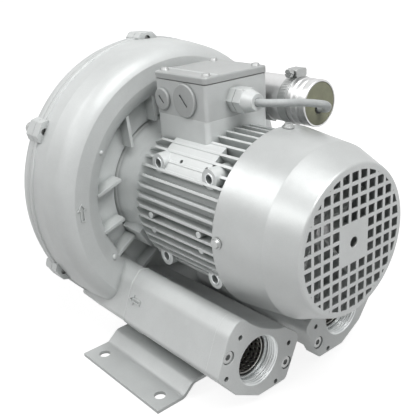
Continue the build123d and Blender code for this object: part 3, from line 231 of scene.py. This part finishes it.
materials = {
    "casing_paint": silver_paint("casing_silver", 0.74, roughness=(0.44, 0.56)),
    "bracket_paint": silver_paint("bracket_silver", 0.68, grain=0.00006),
    # the painted shade in this paint's corners and between its fins is lighter than in the other paints
    "motor_paint": silver_paint("motor_silver", 0.82, grain=0.00016, crevice_shade_tone=0.5),
    "cowl_paint": silver_paint("cowl_silver", 0.60, grain=0.00006, roughness=(0.32, 0.42), metallic=0.45),
    "box_paint": silver_paint("box_silver", 0.66, grain=0.00008),
    "plug_plastic": silver_paint("plug_silver", 0.5, grain=0.00005),
    "gland_plastic": silver_paint("gland_silver", 0.78, grain=0.00005),
    "zinc_steel": bright_metal("zinc", 0.46, (0.4, 0.5), (0.98, 1.0, 0.99)),
    "gasket_rubber": plain_stuff("rubber_black", (0.025, 0.025, 0.025), (0.6, 0.75)),
    "screen_steel": bright_metal("screen_steel", 0.8, (0.25, 0.4), (1.0, 0.98, 0.93)),
    "foam": plain_stuff("foam_dark", (0.02, 0.02, 0.02), (0.85, 0.95), 350, 0.0008),
    "core_steel": bright_metal("lamination_steel", 0.35, (0.4, 0.5)),
    "copper_winding": bright_metal("enamelled_copper", 0.75, (0.35, 0.5), (1.0, 0.45, 0.22)),
    "bearing_steel": bright_metal("ground_steel", 0.65, (0.12, 0.2)),
    "shaft_steel": bright_metal("turned_steel", 0.6, (0.25, 0.35)),
    "impeller_aluminium": bright_metal("cast_aluminium", 0.7, (0.35, 0.5)),
    "fan_plastic": plain_stuff("fan_grey", (0.78, 0.8, 0.79), (0.4, 0.5)),
    "black_plastic": plain_stuff("moulded_black", (0.03, 0.03, 0.032)),
    "brass": bright_metal("brass_plain", 0.75, (0.25, 0.35), (1.0, 0.82, 0.45)),
    "capacitor_aluminium": bright_metal("drawn_aluminium", 0.68, (0.3, 0.42), stretch=(1, 12, 1)),
    "capacitor_resin": plain_stuff("cast_resin", (0.27, 0.275, 0.19), (0.4, 0.6), 300, 0.0003),
    "lead_jacket": plain_stuff("pvc_grey", (0.5, 0.52, 0.52), (0.4, 0.5)),
}


own_finish_and_shade = {
    # painted shade: the lid has the box's silver paint darkened, as its upturned top takes more light
    # than the box's sides
    "terminal_box_lid": silver_paint("lid_silver_painted_shade", 0.5, grain=0.00006),
    "terminal_box_gasket": plain_stuff("rubber_grey", (0.22, 0.22, 0.22), (0.6, 0.7)),
}


def dress_nodes():
    for entry in frame["record"]["subparts"]:
        node = nodes[entry["node"]]
        finish = own_finish_and_shade.get(entry["node"], materials[entry["material_slot"]])
        for index in range(len(node.material_slots)):
            node.material_slots[index].link = "OBJECT"
            node.material_slots[index].material = finish


dress_nodes()


# ---- pieces finer than the solids: threads, screens, rings, studs, arrows, seams, ribs, ridge ----
PORT_X, PORT_Z, PORT_FACE_Y = 0.0500, 0.0403, -0.1034
THREAD_PITCH = 0.002309
THREAD_CREST, THREAD_ROOT = 0.0195, 0.02075
THREAD_DEPTH, THREAD_CHAMFER, THREAD_ROWS = 0.0092, 0.0014, 44
SLEEVE_OUTER, SLEEVE_LIP = 0.02094, 0.0001
# depth from the port's face and inside radius: the relief behind the thread, then two seats
SEATS = ((0.0094, 0.02075), (0.0104, 0.02075), (0.0105, 0.0194), (0.0117, 0.0194),
         (0.0118, 0.0183), (0.0132, 0.0183))
SLEEVE_SIDES = 96
SCREEN_OUTER, SCREEN_INNER, SCREEN_HOLE = 0.0170, 0.0160, 0.0016
SCREEN_START, SCREEN_END = -0.0900, 0.0180
SCREEN_AROUND, SCREEN_ROWS = 24, 24
LID_TOP_Z = 0.2470
RIDGE_X, RIDGE_HALF, RIDGE_RISE = -0.0185, 0.0008, 0.0006
RIDGE_START, RIDGE_END = -0.0375, 0.0245
# the ridge's section, in half widths across and rises up
RIDGE_SECTION = ((-1.4, -0.3), (-1.4, 0.0), (-0.7, 0.8), (-0.4, 1.0), (0.4, 1.0), (0.7, 0.8),
                 (1.4, 0.0), (1.4, -0.3))
CAPACITOR_X, CAPACITOR_Z = 0.0540, 0.2165
LUG_FACE_X, LUG_ROWS_Y, LUG_ROWS_Z = 0.0540, (0.0, -0.0620), (0.0970, 0.1790)
# radius and height over the lug's face, round the closed section of the ring
LUG_RING_SECTION = ((0.0034, -0.0010), (0.0034, 0.0002), (0.0037, 0.0005), (0.0046, 0.0005),
                    (0.0049, 0.0002), (0.0049, -0.0010))
LUG_RING_SIDES = 40
# share of the pin's radius and height over the casing
PIN_SECTION = ((1.0, -0.0012), (1.0, 0.0008), (0.86, 0.0013), (0.55, 0.0017), (0.2, 0.0018))
PIN_SIDES = 28
# name, foot, normal and radius of each cast stud
PINS = (("groove_pin", (-0.08129, 0.03995, 0.09247), (0.465, -0.847, 0.259), 0.0026),
        ("band_pin", (-0.08279, 0.03808, 0.18749), (0.382, -0.895, -0.229), 0.0020))
ARROW_LENGTH, ARROW_WIDTH, ARROW_LINE = 0.0160, 0.0092, 0.0011
ARROW_SINK, ARROW_RISE, ARROW_CHAMFER = 0.0003, 0.0009, 0.0001
ARROW_OUTLINE = ((0.5, 0.0), (0.08, 0.5), (0.08, 0.22), (-0.5, 0.22), (-0.5, -0.22), (0.08, -0.22),
                 (0.08, -0.5))
BEAD_Y, BEAD_FROM, BEAD_TO, BEAD_STEPS = 0.0190, 62.0, 232.0, 85
# shift along the tube and height over its wall
BEAD_SECTION = ((-0.0009, -0.0003), (-0.0006, 0.0004), (0.0, 0.0007), (0.0006, 0.0004),
                (0.0009, -0.0003))
BEAD_PROBE = 0.08
BAND_RADIUS, BAND_START, BAND_END = 0.0198, -0.0536, -0.0484
# width, pitch and slant of the ribs in degrees round the band
BAND_RIB, BAND_RIB_PITCH, BAND_RIB_SLANT = 2.6, 7.5, 3.0
BAND_RIB_SINK, BAND_RIB_RISE = 0.0001, 0.0003
BAND_RIBS_FROM, BAND_RIBS_TO = 112.0, 176.0


def add_piece(name, bm, slot, material=None, crease=35):
    """Turns a bmesh into a shaded piece of the blower body and frees the bmesh."""
    bmesh.ops.recalc_face_normals(bm, faces=bm.faces)
    for face in bm.faces:
        face.smooth = True
    for edge in bm.edges:
        edge.smooth = edge.calc_face_angle(0.0) < radians(crease)
    mesh = bpy.data.meshes.new(name)
    bm.to_mesh(mesh)
    bm.free()
    mesh.materials.append(material or materials[slot])
    piece = bpy.data.objects.new(name, mesh)
    scene.collection.objects.link(piece)
    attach(piece, "blower")
    return piece


def around_port(x, angle, radius, y):
    return (x + radius * cos(angle), y, PORT_Z + radius * sin(angle))


def thread_radius(depth, angle):
    phase = depth / THREAD_PITCH + angle / (2 * pi)
    wave = 0.5 - 0.5 * cos(2 * pi * phase)
    return max(THREAD_CREST + (THREAD_ROOT - THREAD_CREST) * wave,
               SLEEVE_OUTER - SLEEVE_LIP - depth if depth < THREAD_CHAMFER else 0.0)


def join_rings(bm, a, b):
    count = len(a)
    for k in range(count):
        bm.faces.new((a[k], a[(k + 1) % count], b[(k + 1) % count], b[k]))


def join_loop(bm, rings):
    """Joins each ring to the next and the last one to the first."""
    for a, b in zip(rings, rings[1:] + rings[:1]):
        join_rings(bm, a, b)


def join_capped(bm, rings):
    """Joins each ring to the next and closes both ends."""
    for a, b in zip(rings, rings[1:]):
        join_rings(bm, a, b)
    bm.faces.new(rings[0])
    bm.faces.new(list(reversed(rings[-1])))


def make_thread(side, x):
    """The G1 1/4 thread of one port, with its lead-in chamfer and the seats behind it."""
    bm = bmesh.new()
    angles = [2 * pi * k / SLEEVE_SIDES for k in range(SLEEVE_SIDES)]
    rings = []
    for row in range(THREAD_ROWS + 1):
        depth = THREAD_DEPTH * row / THREAD_ROWS
        rings.append([bm.verts.new(around_port(x, a, thread_radius(depth, a), PORT_FACE_Y + depth))
                      for a in angles])
    for depth, radius in SEATS + ((SEATS[-1][0], SLEEVE_OUTER), (0.0, SLEEVE_OUTER)):
        rings.append([bm.verts.new(around_port(x, a, radius, PORT_FACE_Y + depth)) for a in angles])
    join_loop(bm, rings)
    add_piece(side + "_port_thread", bm, "impeller_aluminium", machined_bore, crease=50)


def make_screen(side, x):
    """The perforated tube inside one silencer, its holes in staggered rows."""
    bm = bmesh.new()
    columns = 2 * SCREEN_AROUND
    half_angle = 2 * pi / columns
    half_step = (SCREEN_END - SCREEN_START) / (2 * SCREEN_ROWS)
    lattice = {}

    def corner(radius, k, m):
        key = (radius, k % columns, m)
        if key not in lattice:
            place = around_port(x, key[1] * half_angle, radius, SCREEN_START + m * half_step)
            lattice[key] = bm.verts.new(place)
        return lattice[key]

    steps = ((1, 1), (0, 1), (-1, 1), (-1, 0), (-1, -1), (0, -1), (1, -1), (1, 0))
    for row in range(SCREEN_ROWS):
        for column in range(SCREEN_AROUND):
            k, m = 2 * column + row % 2, 2 * row + 1
            rims = []
            for radius in (SCREEN_OUTER, SCREEN_INNER):
                cell = [corner(radius, k + dk, m + dm) for dk, dm in steps]
                rim = []
                for index in range(8):
                    turn = radians(45 * (index + 1))
                    angle = k * half_angle + SCREEN_HOLE * cos(turn) / SCREEN_OUTER
                    y = SCREEN_START + m * half_step + SCREEN_HOLE * sin(turn)
                    rim.append(bm.verts.new(around_port(x, angle, radius, y)))
                join_rings(bm, cell, rim)
                rims.append(rim)
            join_rings(bm, *rims)
    for m in (0, 2 * SCREEN_ROWS):
        join_rings(bm, *([corner(radius, k, m) for k in range(columns)]
                         for radius in (SCREEN_OUTER, SCREEN_INNER)))
    screen = add_piece(side + "_fine_screen", bm, "screen_steel")
    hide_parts(side + "_silencer_screen")


def make_ridge():
    """The low straight ridge cast along the terminal box lid."""
    bm = bmesh.new()
    ends = []
    for y in (RIDGE_START, RIDGE_END):
        ends.append([bm.verts.new((RIDGE_X + across * RIDGE_HALF, y, LID_TOP_Z + up * RIDGE_RISE))
                     for across, up in RIDGE_SECTION])
    join_capped(bm, ends)
    add_piece("lid_ridge", bm, "box_paint")


def make_lug_ring(name, side, y, z):
    """The turned ring round the threaded hole in one of the motor's side lugs."""
    bm = bmesh.new()
    rings = []
    for radius, rise in LUG_RING_SECTION:
        rings.append([bm.verts.new((side * (LUG_FACE_X + rise), y + radius * cos(a), z + radius * sin(a)))
                      for a in (2 * pi * k / LUG_RING_SIDES for k in range(LUG_RING_SIDES))])
    join_loop(bm, rings)
    add_piece(name, bm, "impeller_aluminium", machined_bore)


def make_pin(name, centre, normal, radius):
    """A cast stud with a rounded end, standing on the casing."""
    bm = bmesh.new()
    axis = Vector(normal).normalized()
    side = axis.cross(Vector((0.0, 0.0, 1.0))).normalized()
    top = axis.cross(side)
    rings = []
    for share, rise in PIN_SECTION:
        rings.append([bm.verts.new(Vector(centre) + axis * rise + share * radius
                                   * (cos(a) * side + sin(a) * top))
                      for a in (2 * pi * k / PIN_SIDES for k in range(PIN_SIDES))])
    join_capped(bm, rings)
    add_piece(name, bm, "casing_paint")


def inset_loop(loop, inset):
    """The loop of (u, v) points, in counterclockwise order, moved inwards by the inset."""
    result = []
    for k, point in enumerate(loop):
        here, before, after = Vector(point), Vector(loop[k - 1]), Vector(loop[(k + 1) % len(loop)])
        a, b = (here - before).normalized(), (after - here).normalized()
        n_a, n_b = Vector((-a.y, a.x)), Vector((-b.y, b.x))
        result.append(here + inset * (n_a + n_b) / (1 + n_a.dot(n_b)))
    return result


def make_arrow(name, centre, along, normal, slot):
    """A flow arrow, cast as a raised outline on a flat face."""
    bm = bmesh.new()
    along, normal = Vector(along).normalized(), Vector(normal).normalized()
    across = normal.cross(along)
    outer = [(u * ARROW_LENGTH, v * ARROW_WIDTH) for u, v in ARROW_OUTLINE]
    rings = []
    for inset, rise in ((0.0, -ARROW_SINK), (0.0, ARROW_RISE - ARROW_CHAMFER),
                        (ARROW_CHAMFER, ARROW_RISE), (ARROW_LINE, ARROW_RISE),
                        (ARROW_LINE, -ARROW_SINK)):
        rings.append([bm.verts.new(Vector(centre) + u * along + v * across + rise * normal)
                      for u, v in inset_loop(outer, inset)])
    join_loop(bm, rings)
    add_piece(name, bm, slot)


def make_seam_bead(side, x):
    """The raised joint line round a silencer tube, where it meets the casing's neck."""
    tube = nodes[side + "_silencer_tube"]
    depsgraph = bpy.context.evaluated_depsgraph_get()
    bm = bmesh.new()
    rings = []
    for k in range(BEAD_STEPS + 1):
        turn = radians(BEAD_FROM + (BEAD_TO - BEAD_FROM) * k / BEAD_STEPS)
        outward = -1 if x > 0 else 1
        away = Vector((outward * cos(turn), 0.0, sin(turn)))
        start = Vector((x, BEAD_Y, PORT_Z)) + BEAD_PROBE * away
        hit, place, normal, _ = tube.ray_cast(start, -away, depsgraph=depsgraph)
        if not hit:
            continue
        rings.append([bm.verts.new(place + rise * normal + Vector((0.0, shift, 0.0)))
                      for shift, rise in BEAD_SECTION])
    join_capped(bm, rings)
    add_piece(side + "_tube_seam", bm, "casing_paint")


def make_band_ribs():
    """The rolled thread on the free end of the capacitor's worm drive band."""
    bm = bmesh.new()
    start = BAND_RIBS_FROM
    while start < BAND_RIBS_TO:
        rings = []
        for radius in (BAND_RADIUS - BAND_RIB_SINK, BAND_RADIUS + BAND_RIB_RISE):
            outline = ((start, BAND_START), (start + BAND_RIB, BAND_START),
                       (start + BAND_RIB + BAND_RIB_SLANT, BAND_END), (start + BAND_RIB_SLANT, BAND_END))
            rings.append([bm.verts.new((CAPACITOR_X + radius * cos(radians(a)), y,
                                        CAPACITOR_Z + radius * sin(radians(a)))) for a, y in outline])
        join_capped(bm, rings)
        start += BAND_RIB_PITCH
    add_piece("clamp_band_ribs", bm, "zinc_steel")


# ---- the lead from the gland to the capacitor ---------------------------------------------------
LEAD_DIAMETER = 0.006
LEAD_STEPS, LEAD_SIDES = 12, 20
LEAD_ROUTE = ((-0.002, -0.053, 0.2263), (-0.002, -0.067, 0.2263), (0.008, -0.077, 0.2258),
              (0.021, -0.081, 0.2243), (0.033, -0.084, 0.2220), (0.0465, -0.089, 0.2190),
              (0.0528, -0.084, 0.2132), (0.0528, -0.0755, 0.2132))


def lead_point(t):
    """A point on the quadratic B-spline through the route, t running from 0 to the number of spans."""
    ends = (Vector(LEAD_ROUTE[0]),) + tuple(Vector(place) for place in LEAD_ROUTE) + (
        Vector(LEAD_ROUTE[-1]),)
    span = min(int(t), len(ends) - 3)
    u = t - span
    a, b, c = ends[span:span + 3]
    return 0.5 * (1 - u) ** 2 * a + (0.5 + u - u * u) * b + 0.5 * u * u * c


def make_lead():
    """The round lead, swept along its route as one closed tube."""
    bm = bmesh.new()
    count = LEAD_STEPS * len(LEAD_ROUTE)
    places = [lead_point(len(LEAD_ROUTE) * k / count) for k in range(count + 1)]
    rings = []
    for k, place in enumerate(places):
        along = (places[min(k + 1, count)] - places[max(k - 1, 0)]).normalized()
        side = along.cross(Vector((0.0, 0.0, 1.0))).normalized()
        top = side.cross(along)
        turns = [2 * pi * j / LEAD_SIDES for j in range(LEAD_SIDES)]
        rings.append([bm.verts.new(place + LEAD_DIAMETER / 2 * (cos(a) * side + sin(a) * top))
                      for a in turns])
    join_capped(bm, rings)
    lead = add_piece("lead", bm, "lead_jacket")
    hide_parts("capacitor_lead")


machined_bore = bright_metal("machined_bore", 0.72, (0.34, 0.46), (0.97, 1.0, 1.0), stretch=(1, 14, 1))
for side, x in (("left", -PORT_X), ("right", PORT_X)):
    make_thread(side, x)
    make_screen(side, x)
    make_seam_bead(side, x)
for side, sign in (("left", -1), ("right", 1)):
    for height, z in zip(("low", "high"), LUG_ROWS_Z):
        for place, y in zip(("front", "back"), LUG_ROWS_Y[::-1]):
            make_lug_ring(f"{side}_{height}_{place}_lug_ring", sign, y, z)
for pin in PINS:
    make_pin(*pin)
make_arrow("casing_flow_arrow", (-0.1078, 0.0365, 0.1430), (0.02, 0.0, 1.0), (0.0, -1.0, 0.0),
           "casing_paint")
make_arrow("left_tube_flow_arrow", (-0.0845, 0.0095, 0.0625), (0.0, 1.0, 0.0), (-0.922, 0.0, 0.387),
           "casing_paint")
make_ridge()
make_band_ribs()
make_lead()


# ---- floor, light and background ----------------------------------------------------------------
LIGHT_TARGET = Vector((0.0, -0.02, 0.12))
WORLD_LEVEL = 0.05
FLOOR_TONE = 0.25
FLOOR_HALF, FLOOR_GAP = 6.0, 0.0002
# the floor's own brightness beside the object and beyond it, and how far out each of them holds
FLOOR_GLOW_NEAR, FLOOR_GLOW_FAR = 0.86, 1.0
GLOW_NEAR_M, GLOW_FAR_M = 0.25, 0.60
# name, bearing from +X (counterclockwise from above) and elevation in degrees, distance and side in
# metres, watts
LIGHTS = (
    ("left_high", 140, 45, 2.0, 0.9, 9.5),
    ("left_level", 187, 36, 2.0, 0.45, 4.4),
    ("front_near", 260, 60, 1.0, 0.6, 7.4),
    ("camera_side", 232, 34, 1.6, 1.0, 0.8),
    ("back", 50, 45, 2.0, 1.2, 1.2),
)


def add_shaders(tree, a, b):
    node = tree.nodes.new("ShaderNodeAddShader")
    tree.links.new(a, node.inputs[0])
    tree.links.new(b, node.inputs[1])
    return node.outputs[0]


def make_floor():
    mesh = bpy.data.meshes.new("floor")
    r = FLOOR_HALF
    z = cad_box[0][2] - FLOOR_GAP
    mesh.from_pydata([(-r, -r, z), (r, -r, z), (r, r, z), (-r, r, z)], [], [(0, 1, 2, 3)])
    floor = bpy.data.objects.new("floor", mesh)
    scene.collection.objects.link(floor)
    n = Nodes("floor_white")
    n.link(n.ramp(n.noise(3, 2), ((0.3, grey(FLOOR_TONE)), (0.7, grey(FLOOR_TONE + 0.02)))),
           n.shader.inputs["Base Color"])
    n.shader.inputs["Roughness"].default_value = 0.7
    glow = n.tree.nodes.new("ShaderNodeEmission")
    glow.inputs["Color"].default_value = (1.0, 1.0, 1.0, 1.0)
    distance = n.tree.nodes.new("ShaderNodeVectorMath")
    distance.operation = "LENGTH"
    n.link(n.coords, distance.inputs[0])
    spread = n.tree.nodes.new("ShaderNodeMapRange")
    for name, value in (("From Min", GLOW_NEAR_M), ("From Max", GLOW_FAR_M),
                        ("To Min", FLOOR_GLOW_NEAR), ("To Max", FLOOR_GLOW_FAR)):
        spread.inputs[name].default_value = value
    n.link(distance.outputs["Value"], spread.inputs["Value"])
    seen = n.tree.nodes.new("ShaderNodeMath")
    seen.operation = "MULTIPLY"
    n.link(spread.outputs["Result"], seen.inputs[0])
    n.link(backdrop_rays(n.tree), seen.inputs[1])
    n.link(seen.outputs[0], glow.inputs["Strength"])
    out = n.tree.nodes["Material Output"]
    n.link(add_shaders(n.tree, n.shader.outputs[0], glow.outputs[0]), out.inputs["Surface"])
    mesh.materials.append(n.material)


def backdrop_rays(tree):
    """A socket that is 1 for camera, glossy and transmission rays and 0 for the rays that carry light."""
    path = tree.nodes.new("ShaderNodeLightPath")
    seen = path.outputs["Is Camera Ray"]
    for name in ("Is Glossy Ray", "Is Transmission Ray"):
        top = tree.nodes.new("ShaderNodeMath")
        top.operation = "MAXIMUM"
        tree.links.new(seen, top.inputs[0])
        tree.links.new(path.outputs[name], top.inputs[1])
        seen = top.outputs[0]
    return seen


def area_light(name, bearing, elevation, distance, side, power):
    data = bpy.data.lights.new(name, "AREA")
    data.shape = "SQUARE"
    data.size = side
    data.energy = power
    light = bpy.data.objects.new(name, data)
    scene.collection.objects.link(light)
    level = cos(radians(elevation))
    away = Vector((level * cos(radians(bearing)), level * sin(radians(bearing)), sin(radians(elevation))))
    turn = away.to_track_quat("Z", "Y").to_matrix().to_4x4()
    light.matrix_world = Matrix.Translation(LIGHT_TARGET + distance * away) @ turn


def make_light():
    world = bpy.data.worlds.new("studio")
    scene.world = world
    world.use_nodes = True
    tree = world.node_tree
    dim = tree.nodes["Background"]
    dim.inputs["Color"].default_value = (1.0, 1.0, 1.0, 1.0)
    dim.inputs["Strength"].default_value = WORLD_LEVEL
    white = tree.nodes.new("ShaderNodeBackground")
    white.inputs["Color"].default_value = (1.0, 1.0, 1.0, 1.0)
    white.inputs["Strength"].default_value = 1.0
    mix = tree.nodes.new("ShaderNodeMixShader")
    tree.links.new(backdrop_rays(tree), mix.inputs[0])
    tree.links.new(dim.outputs[0], mix.inputs[1])
    tree.links.new(white.outputs[0], mix.inputs[2])
    tree.links.new(mix.outputs[0], tree.nodes["World Output"].inputs["Surface"])
    for light in LIGHTS:
        area_light(*light)


make_floor()
make_light()

scene.view_settings.view_transform = "Standard"
